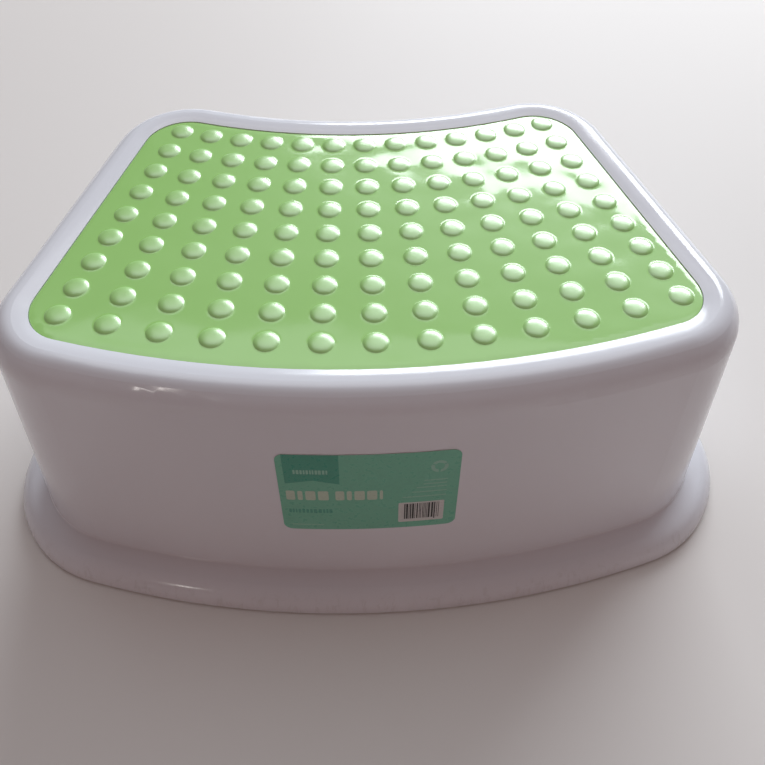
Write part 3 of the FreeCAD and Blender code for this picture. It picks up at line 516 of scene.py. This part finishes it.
def build_label():
    teal = print_material("label_teal", (0.20, 0.56, 0.40))
    deep = print_material("label_deep", (0.08, 0.38, 0.27))
    pale = print_material("label_pale", (0.56, 0.68, 0.55))
    faint = print_material("label_faint", (0.36, 0.64, 0.52))
    white = print_material("label_white", (0.70, 0.71, 0.70))
    ink = print_material("label_ink", (0.03, 0.035, 0.035))
    w, h = LW / 2, LH / 2
    body = rounded(-w, -h, w, h, LR, 8)
    shapes = []                                   # (polygon, material), later wins

    def bar(x0, z0, x1, z1, r, mat):
        shapes.append((rounded(x0, z0, x1, z1, r, 4), mat))

    def ring(cx, cz, rx, rz, stroke, mat):
        shapes.append((circle(cx, cz, rx, 32, rz), mat))
        shapes.append((circle(cx, cz, rx - stroke, 28, rz - stroke), 0))

    # pennant with a row of small marks
    shapes.append(([Vector((-39.1, 8.0)), Vector((-26.2, 10.7)), Vector((-13.7, 7.8)),
                    Vector((-13.5, h - 0.02)), Vector((-39.3, h - 0.02))], 1))
    rnd = random.Random(11)
    x = -34.8
    while x < -18.8:
        wd = rnd.uniform(0.7, 1.3)
        bar(x, 15.5, x + wd, 18.6, 0.3, 3)
        x += wd + rnd.uniform(0.35, 0.6)
    # large row of plain marks
    for x0, x1 in ((-39.3, -35.1), (-33.9, -31.5), (-30.2, -25.4), (-24.2, -19.2),
                   (-16.0, -11.8), (-10.6, -8.2), (-7.0, -2.1), (-1.0, 3.8), (5.0, 6.5)):
        bar(x0, -4.9, x1, 2.4, 0.9, 2)
    # darker row of marks
    x = -38.8
    while x < -17.8:
        wd = rnd.uniform(0.8, 1.6)
        bar(x, -15.6, x + wd, -12.4, 0.35, 1)
        x += wd + rnd.uniform(0.4, 0.8)
    bar(-38.5, -26.0, -22.5, -25.4, 0.25, 3)
    # divided ring and fine lines
    ring(32.6, 18.4, 4.0, 4.3, 1.7, 3)
    for k in range(3):
        a = math.radians(30 + 120 * k)
        d, n = Vector((math.cos(a), math.sin(a))), Vector((-math.sin(a), math.cos(a)))
        c = Vector((32.6, 18.4))
        shapes.append(([c + d * 1.6 - n * 0.4, c + d * 4.7 - n * 0.4,
                        c + d * 4.7 + n * 0.4, c + d * 1.6 + n * 0.4], 0))
    for z, x in ((8.3, 25.8), (5.6, 25.5), (3.0, 22.3), (-0.5, 20.4), (-4.2, 15.8)):
        bar(x, z - 0.36, 36.7, z + 0.36, 0.3, 3)
    # pale box with stripes
    bar(14.0, -25.0, 36.2, -8.7, 0.8, 4)
    rnd = random.Random(5)
    x = 16.8
    while x < 33.8:
        wd = rnd.choice((0.3, 0.35, 0.65, 0.95))
        x1 = min(34.3, x + wd)
        low = -22.6 if rnd.random() > 0.12 else -23.6
        shapes.append(([Vector((x, low)), Vector((x1, low)), Vector((x1, -9.8)), Vector((x, -9.8))], 5))
        x = x1 + rnd.choice((0.3, 0.35, 0.6, 0.6))
    pts, edges = [], []

    def loop(poly, step=2.0):
        dense = []
        for a, b in zip(poly, poly[1:] + poly[:1]):
            n = max(1, int((b - a).length / step))
            dense += [a.lerp(b, k / n) for k in range(n)]
        base = len(pts)
        pts.extend(dense)
        n = len(dense)
        ids = list(range(base, base + n))
        edges.extend((ids[k], ids[(k + 1) % n]) for k in range(n))
        return ids

    rim = loop(body)
    for poly, _ in shapes:
        loop(poly)
    yy = -h + 2
    while yy < h - 1:
        xx = -w + 2
        while xx < w - 1:
            pts.append(Vector((xx, yy)))
            xx += 3.0
        yy += 3.0
    v2, _, f2, ov, _, _ = delaunay_2d_cdt(pts, edges, [rim], 1, 1e-4)
    verts = [wall_point(p.x, p.y, 0.25) for p in v2]
    faces, idx = [], []
    for f in f2:
        c = sum((v2[k] for k in f), Vector((0, 0))) / len(f)
        m = 0
        for poly, mi in shapes:
            if inside(poly, c):
                m = mi
        faces.append(tuple(f))
        idx.append(m)
    nv = len(verts)
    verts += [wall_point(p.x, p.y, 0.05) for p in v2]
    faces += [tuple(k + nv for k in reversed(f)) for f in f2]
    idx += [4] * len(f2)
    count = {}
    for f in f2:
        for a, b in zip(f, f[1:] + f[:1]):
            count[(a, b)] = count.get((a, b), 0) + 1
    for (a, b) in list(count):
        if (b, a) not in count:
            faces.append((b, a, a + nv, b + nv))
            idx.append(4)
    o = new_object("front_label_print", verts, faces, [teal, deep, pale, faint, white, ink], idx)
    bm = bmesh.new()
    bm.from_mesh(o.data)
    bmesh.ops.recalc_face_normals(bm, faces=bm.faces)
    for e in bm.edges:
        if len(e.link_faces) == 2 and e.calc_face_angle(0) > math.radians(40):
            e.smooth = False
    bm.to_mesh(o.data)
    bm.free()
    return o


label = build_label()
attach(label, "root")
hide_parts("front_label")

# ----------------------------------------------------------------- stage

me = bpy.data.meshes.new("floor")
me.from_pydata([(-6, -6, -0.0001), (6, -6, -0.0001), (6, 6, -0.0001), (-6, 6, -0.0001)], [], [(0, 1, 2, 3)])
floor = bpy.data.objects.new("floor", me)
scene.collection.objects.link(floor)
me.materials.append(floor_material())

# ----------------------------------------------------------------- light


def area(name, azimuth, elevation, distance, width, height, radiance, colour, target=(0, 0, 0.1)):
    """Soft box at azimuth (degrees right of +Y) and elevation, seen from target."""
    a, e = math.radians(azimuth), math.radians(elevation)
    d = Vector((math.sin(a) * math.cos(e), math.cos(a) * math.cos(e), math.sin(e)))
    l = bpy.data.lights.new(name, "AREA")
    l.shape = "RECTANGLE"
    l.size, l.size_y = width, height
    l.energy = radiance * math.pi * width * height
    l.color = colour
    o = bpy.data.objects.new(name, l)
    scene.collection.objects.link(o)
    o.location = Vector(target) + d * distance
    o.rotation_mode = "QUATERNION"
    o.rotation_quaternion = (-d).to_track_quat("-Z", "Y")
    return o


area("window", 22, 27, 3.6, 2.87, 1.53, 10.0, (0.90, 0.96, 1.0))
area("ceiling", 6, 70, 2.4, 2.6, 1.6, 1.55, (0.91, 0.96, 1.0))
area("lamp", -150, 22, 2.5, 0.10, 0.22, 16.0, (1.0, 0.96, 0.90))
w = bpy.data.worlds.new("room")
scene.world = w
w.use_nodes = True
nt = w.node_tree
bg = nt.nodes["Background"]
bg.inputs["Color"].default_value = (1.0, 0.66, 0.60, 1)
tc = nt.nodes.new("ShaderNodeTexCoord")
sp = nt.nodes.new("ShaderNodeSeparateXYZ")
nt.links.new(tc.outputs["Generated"], sp.inputs[0])
toward_front = ramp(nt, sp.outputs["Y"], 0.25, -0.45, 0.05, 0.205)
nt.links.new(toward_front, bg.inputs["Strength"])
scene.view_settings.view_transform = "Standard"

# ---------------------------------------------------------------- camera

cam = bpy.data.cameras.new("camera")
cam_o = bpy.data.objects.new("camera", cam)
scene.collection.objects.link(cam_o)
cam.sensor_width = 36.0
cam.lens = 38.33
cam.clip_start, cam.clip_end = 0.02, 50
yaw, pitch, roll = 0.0558, 0.9215, -0.0161
fw = Vector((math.sin(yaw) * math.cos(pitch), math.cos(yaw) * math.cos(pitch), -math.sin(pitch)))
rt = Vector((math.cos(yaw), -math.sin(yaw), 0))
dn = fw.cross(rt)
rt2 = rt * math.cos(roll) + dn * math.sin(roll)
dn2 = -rt * math.sin(roll) + dn * math.cos(roll)
rot = Matrix((rt2, -dn2, -fw)).transposed()
cam_o.matrix_world = Matrix.Translation((-0.00802, -0.30475, 0.42390)) @ rot.to_4x4()
scene.camera = cam_o
